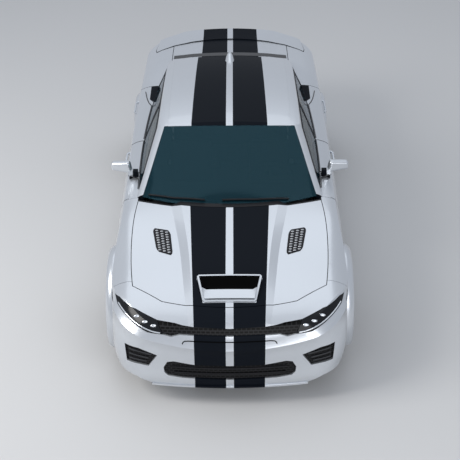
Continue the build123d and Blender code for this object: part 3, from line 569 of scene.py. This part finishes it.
def on_side(node, sign, y, z, out=0.0):
    """The point of a node's outer side surface at y and z."""
    found = surface(node, (sign * PAST_SIDES, y, z), (-sign, 0, 0))
    return Vector((found.x + sign * out, y, z))


# Hood and roof

def scoop_floor(name, stations, material):
    """A sheet on the hood, inside the scoop's rim."""
    rows = []
    for y, rise in stations:
        half = along(y, SCOOP_FRONT, SCOOP_REAR)
        rows.append([on_top("hood", x, y, rise) for x in steps(-half, half, 12)])
    sheet(name, rows, material, "hood")


def vent_point(u, v):
    """A place on the left vent, u across from the inside and v from the rear."""
    inner_rear, outer_rear, outer_front, inner_front = VENT_CORNERS
    place = []
    for axis in range(2):
        rear = inner_rear[axis] * (1 - u) + outer_rear[axis] * u
        front = inner_front[axis] * (1 - u) + outer_front[axis] * u
        place.append(rear * (1 - v) + front * v)
    return place


def vent(side, sign):
    """Rows of small light louvres in a dark frame on the hood."""
    rows = []
    for row, v in enumerate(steps(-VENT_BORDER_ALONG, 1 + VENT_BORDER_ALONG, VENT_FRAME_ROWS)):
        end = VENT_BORDER_ACROSS - VENT_ROUNDING.get(row, 0)
        line = [vent_point(u, v) for u in steps(-end, 1 + end, 6)]
        rows.append([on_top("hood", sign * x, y, VENT_FRAME_RISE) for x, y in line])
    sheet(f"hood_vent_frame_{side}", rows, black_trim, "hood")
    name = f"hood_vent_cells_{side}"
    work = bmesh.new()
    for row in range(VENT_ROWS):
        for column in range(VENT_COLUMNS):
            x, y = vent_point((column + 0.5) / VENT_COLUMNS, (row + 0.5) / VENT_ROWS)
            add_ball(work, on_top("hood", sign * x, y, VENT_LOUVRE_RISE), VENT_LOUVRE, 12, 6)
    piece(name, mesh_of(name, work), louvre_grey, "hood")


def wiper(side, corners):
    """A blade parked along the foot of the windscreen."""
    blade = []
    for start, end in zip(corners, corners[1:]):
        for x, y in points_between(start, end, 8)[:-1]:
            blade.append(on_top("windscreen", x, y, WIPER_RISE))
    tube(f"wiper_blade_{side}", blade, WIPER_RADIUS, black_trim, "body")


def rear_window_band():
    """The gloss black band of the trunk lid that carries on from the rear window."""
    rows = []
    for y, half in points_between(BAND_FRONT, BAND_REAR, 4):
        line = [(half * share, y - BAND_BOW * share**2) for share in steps(-1, 1, 24)]
        rows.append([on_top("trunk_lid", *place, BAND_RISE) for place in line])
    sheet("rear_window_band", rows, gloss_black, "trunk")


def antenna():
    """A small swept fin on the roof."""
    rings = []
    for rise in steps(0, 1, 8):
        length = ANTENNA_LENGTH * (1 - rise) ** 0.6 + ANTENNA_TIP_LENGTH
        width = ANTENNA_WIDTH * (1 - rise) ** 0.55 + ANTENNA_TIP_WIDTH
        middle, z = ANTENNA_Y + ANTENNA_SWEEP * rise, ANTENNA_Z + ANTENNA_HEIGHT * rise
        turns = steps(0, 2 * math.pi, 24)[:-1]
        rings.append([(width * math.sin(turn), middle - length * math.cos(turn), z) for turn in turns])
    smooth(solid("roof_antenna", rings, silver, "body"), 60)


# Doors

def door_handle(end, side, sign, y, z):
    """A bar that stands off the door and meets it at both ends."""
    door = f"door_{end}_{side}"
    line = points_between((y - HANDLE_HALF, z - HANDLE_RISE), (y + HANDLE_HALF, z + HANDLE_RISE), 12)
    bar = [on_side(door, sign, place_y, place_z, HANDLE_OUT) for place_y, place_z in line]
    bar[0] = on_side(door, sign, y - HANDLE_FOOT_HALF, z - HANDLE_RISE, HANDLE_FOOT_OUT)
    bar[-1] = on_side(door, sign, y + HANDLE_FOOT_HALF, z + HANDLE_RISE, HANDLE_FOOT_OUT)
    tube(f"door_handle_{end}_{side}", bar, HANDLE_RADIUS, silver, door)


def window_strip(end, side, sign, span):
    """The black strip along a door window's foot."""
    door = f"door_{end}_{side}"
    places = points_between((span[0], STRIP_Z[0]), (span[1], STRIP_Z[1]), 16)
    line = [on_side(door, sign, y, z, STRIP_OUT) for y, z in places]
    tube(f"window_strip_{end}_{side}", line, STRIP_RADIUS, gloss_black, door)


# Front

def bumper_slot_shade():
    """A near black tube of painted shade along the thin slot across the bumper, with its ends turned down.
    """
    half = list(SLOT_END) + points_between(SLOT_END[-1], SLOT_MIDDLE, 5)[1:]
    line = half + [(-x, z) for x, z in reversed(half[:-1])]
    points = [on_front("front_bumper", x, z, SLOT_OUT) for x, z in line]
    tube("bumper_slot_shade", points, SLOT_RADIUS, hole_shade_black, "body")


def intake_blade(name, places, radius, material):
    """A blade across the face of a grille, inside its intake."""
    points = [on_front("front_grilles", x, z, BLADE_OUT) for x, z in places]
    tube(name, points, radius, material, "body")


def lamp_strip(side, sign):
    """The light strip along a headlamp's lower edge, as far as the lamp goes."""
    strip = []
    for share in steps(0, 1, 14):
        x = LAMP_STRIP_INNER[0] + LAMP_STRIP_REACH[0] * share
        z = LAMP_STRIP_INNER[1] + LAMP_STRIP_REACH[1] * share**LAMP_STRIP_POWER
        found = surface("headlamps", (sign * x, -PAST_ENDS, z), (0, 1, 0))
        if found is not None:
            strip.append(Vector((sign * x, found.y - LAMP_STRIP_OUT, z)))
    tube(f"headlamp_strip_{side}", strip, LAMP_STRIP_RADIUS, lamp_bright, "body")


def lamp_element(name, x, z):
    """A bright projector set in a headlamp's front surface."""
    work = bmesh.new()
    add_ball(work, on_front("headlamps", x, z, -LAMP_ELEMENT_BACK), LAMP_ELEMENT_HALF, 20, 10)
    smooth(piece(name, mesh_of(name, work), lamp_bright, "body"), 60)


# Rear

def number_plate():
    """A blank plate in a dark recess."""
    rows = []
    across = steps(-RECESS_HALF, RECESS_HALF, 16)
    for z in steps(*RECESS_Z, 8):
        rows.append([on_back("rear_bumper", x, z, RECESS_OUT) for x in across])
    sheet("plate_recess", rows, black_trim, "body")
    y = max(on_back("rear_bumper", x, z).y for x in (0, PLATE_HALF) for z in PLATE_Z) + PLATE_OUT
    low, high = (-PLATE_HALF, y, PLATE_Z[0]), (PLATE_HALF, y + PLATE_THICKNESS, PLATE_Z[1])
    block("number_plate_rear", low, high, plate_white, "body")


def diffuser_fin(name, x):
    """An upright fin on the diffuser."""
    y = on_back("rear_diffuser", x, FIN_FOOT_Z).y
    low, high = (x - FIN_HALF, y - FIN_AHEAD, FIN_Z[0]), (x + FIN_HALF, y + FIN_BEHIND, FIN_Z[1])
    block(name, low, high, black_trim, "body")


def exhaust_ring(side, sign):
    """The bright ring round an exhaust tip's mouth."""
    ring = []
    for turn in steps(0, 2 * math.pi, 32)[:-1]:
        x, z = sign * TIP_X + TIP_RING * math.cos(turn), TIP_Z + TIP_RING * math.sin(turn)
        ring.append((x, TIP_Y, z))
    tube(f"exhaust_ring_{side}", ring, TIP_RING_RADIUS, polished, "body", closed=True)


# Seats

def pad_core(name, profile, low_x, high_x):
    """A helper object with a profile's form between two x, in small even cells."""
    work = bmesh.new()
    ends = [[work.verts.new((x, y, z)) for y, z in profile] for x in (low_x, high_x)]
    for index in range(len(profile)):
        after = (index + 1) % len(profile)
        work.faces.new((ends[0][index], ends[0][after], ends[1][after], ends[1][index]))
    for end in ends:
        work.faces.new(end)
    bmesh.ops.recalc_face_normals(work, faces=work.faces)
    bmesh.ops.bevel(work, geom=list(work.edges), offset=PAD_EDGE, segments=2, affect="EDGES")
    helper = bpy.data.objects.new(name + "_core", mesh_of(name, work))
    bpy.context.scene.collection.objects.link(helper)
    remesh = helper.modifiers.new("cells", "REMESH")
    remesh.mode = "VOXEL"
    remesh.voxel_size = PAD_CELL
    cells = mesh_of_helper(helper)
    helper.modifiers.clear()
    helper.data = cells
    return helper


def blow_up(helper):
    """The helper's mesh after cloth pressure, with no point moved past the swell."""
    before = [vertex.co.copy() for vertex in helper.data.vertices]
    cloth = helper.modifiers.new("cloth", "CLOTH")
    cloth.settings.use_pressure = True
    cloth.settings.uniform_pressure_force = PAD_PRESSURE
    cloth.settings.effector_weights.gravity = 0
    scene = bpy.context.scene
    for step in range(1, PAD_FRAMES + 1):
        scene.frame_set(step)
    blown = mesh_of_helper(helper)
    scene.frame_set(1)
    bpy.data.objects.remove(helper)
    for vertex, place in zip(blown.vertices, before):
        move = vertex.co - place
        if move.length > PAD_SWELL:
            vertex.co = place + move.normalized() * PAD_SWELL
    return blown


def pad(name, profile, low_x, high_x, replaced):
    """A stuffed leather piece from a profile seen from the side, between two x."""
    blown = blow_up(pad_core(name, profile, low_x, high_x))
    made = piece(name, blown, leather, "body")
    smooth(made, 180)
    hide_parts(replaced)


def front_seat(side, sign):
    """A front seat's cushion, backrest, head restraint and two rails."""
    inner, outer = sorted((sign * SEAT_INNER_X, sign * SEAT_OUTER_X))
    middle = sign * SEAT_MIDDLE_X
    pad(f"seat_cushion_{side}", CUSHION, inner, outer, "front_seats")
    pad(f"seat_backrest_{side}", BACKREST, inner + BACKREST_INSET, outer - BACKREST_INSET, "front_seats")
    pad(f"seat_headrest_{side}", HEADREST, middle - HEADREST_HALF, middle + HEADREST_HALF, "front_seats")
    for reach in (-RAIL_X, RAIL_X):
        place = "outer" if reach * sign > 0 else "inner"
        x = middle + reach
        low, high = (x - RAIL_HALF, RAIL_Y[0], RAIL_Z[0]), (x + RAIL_HALF, RAIL_Y[1], RAIL_Z[1])
        block(f"seat_rail_{side}_{place}", low, high, dark_steel, "body")


def rear_bench():
    """The rear bench's cushion, backrest and head restraints."""
    pad("bench_cushion", BENCH, -BENCH_HALF, BENCH_HALF, "rear_seat")
    pad("bench_backrest", BENCH_BACK, -BENCH_HALF, BENCH_HALF, "rear_seat")
    for side, sign in SIDES:
        middle = sign * BENCH_HEADREST_X
        low, high = middle - HEADREST_HALF, middle + HEADREST_HALF
        pad(f"bench_headrest_{side}", BENCH_HEADREST, low, high, "rear_seat")


# The whole object

for material, names in CAD_MATERIALS.items():
    for name in names:
        nodes[name].data.materials.clear()
        nodes[name].data.materials.append(material)
for node in nodes.values():
    smooth(node)

scoop_floor("hood_scoop_ramp", SCOOP_RAMP, silver)
# A near black sheet of painted shade stands for the scoop's opening
scoop_floor("hood_scoop_mouth_shade", SCOOP_MOUTH, hole_shade_black)
for side, sign in SIDES:
    vent(side, sign)
for side, corners in WIPERS.items():
    wiper(side, corners)
rear_window_band()
antenna()
for side, sign in SIDES:
    for end, (y, z) in HANDLES.items():
        door_handle(end, side, sign, y, z)
    for end, span in WINDOW_STRIPS.items():
        window_strip(end, side, sign, span)
bumper_slot_shade()
for level, z, half in BLADES:
    places = points_between((-half, z), (half, z), 24)
    intake_blade(f"intake_blade_{level}", places, BLADE_RADIUS, black_trim)
for side, sign in SIDES:
    for index, (inner, outer) in enumerate(SIDE_BLADES):
        places = [(sign * x, z) for x, z in points_between(inner, outer, 8)]
        intake_blade(f"side_intake_blade_{side}_{index + 1}", places, SIDE_BLADE_RADIUS, blade_grey)
for side, sign in SIDES:
    lamp_strip(side, sign)
    for index, (x, z) in enumerate(LAMP_ELEMENTS):
        lamp_element(f"headlamp_element_{index + 1}_{side}", sign * x, z)
number_plate()
for index, x in enumerate(FIN_X):
    diffuser_fin(f"diffuser_fin_{index + 1}", x)
for side, sign in SIDES:
    exhaust_ring(side, sign)
for side, sign in SIDES:
    front_seat(side, sign)
rear_bench()

# Floor, lights and camera

bpy.ops.mesh.primitive_plane_add(size=60, location=(0, 0, 0))
floor = bpy.context.object
floor.name = "floor"
floor.data.materials.append(principled("floor_pale", (0.62, 0.62, 0.62), roughness=0.9)[0])


def softbox(name, place, target, size, power, color=(1, 1, 1)):
    """A large area light."""
    light = bpy.data.lights.new(name, "AREA")
    light.shape = "RECTANGLE"
    light.size, light.size_y = size
    light.energy = power
    light.color = color
    lamp = bpy.data.objects.new(name, light)
    bpy.context.scene.collection.objects.link(lamp)
    lamp.location = place
    lamp.rotation_euler = (Vector(target) - Vector(place)).to_track_quat("-Z", "Y").to_euler()


softbox("key_light", (-6.5, -3.5, 6.5), (0, -0.5, 0.6), (4, 4), 430, (1.0, 0.98, 0.95))
softbox("sky_light", (0.0, 3.5, 9.0), (0, 0, 0.8), (9, 9), 150, (0.90, 0.95, 1.0))
softbox("front_light", (2.5, -9.0, 3.5), (0, -1.5, 0.6), (6, 4), 190)

world = bpy.data.worlds.new("studio")
bpy.context.scene.world = world
world.use_nodes = True
background = world.node_tree.nodes["Background"]
background.inputs["Color"].default_value = (0.86, 0.91, 1.0, 1)
background.inputs["Strength"].default_value = 0.55

level_forward = Vector((math.sin(CAMERA_YAW), math.cos(CAMERA_YAW), 0))
forward = level_forward * math.cos(CAMERA_PITCH) - Vector((0, 0, math.sin(CAMERA_PITCH)))
level_right = Vector((math.cos(CAMERA_YAW), -math.sin(CAMERA_YAW), 0))
level_up = level_right.cross(forward)
right = level_right * math.cos(CAMERA_ROLL) + level_up * math.sin(CAMERA_ROLL)
up = level_up * math.cos(CAMERA_ROLL) - level_right * math.sin(CAMERA_ROLL)
camera_data = bpy.data.cameras.new("camera")
camera_data.sensor_width = SENSOR
camera_data.lens = SENSOR * FOCAL_PIXELS / FRAME_PIXELS
camera = bpy.data.objects.new("camera", camera_data)
bpy.context.scene.collection.objects.link(camera)
camera.matrix_world = Matrix.Translation(CAMERA_PLACE) @ Matrix((right, up, -forward)).transposed().to_4x4()
bpy.context.scene.camera = camera
bpy.context.scene.view_settings.view_transform = "Standard"
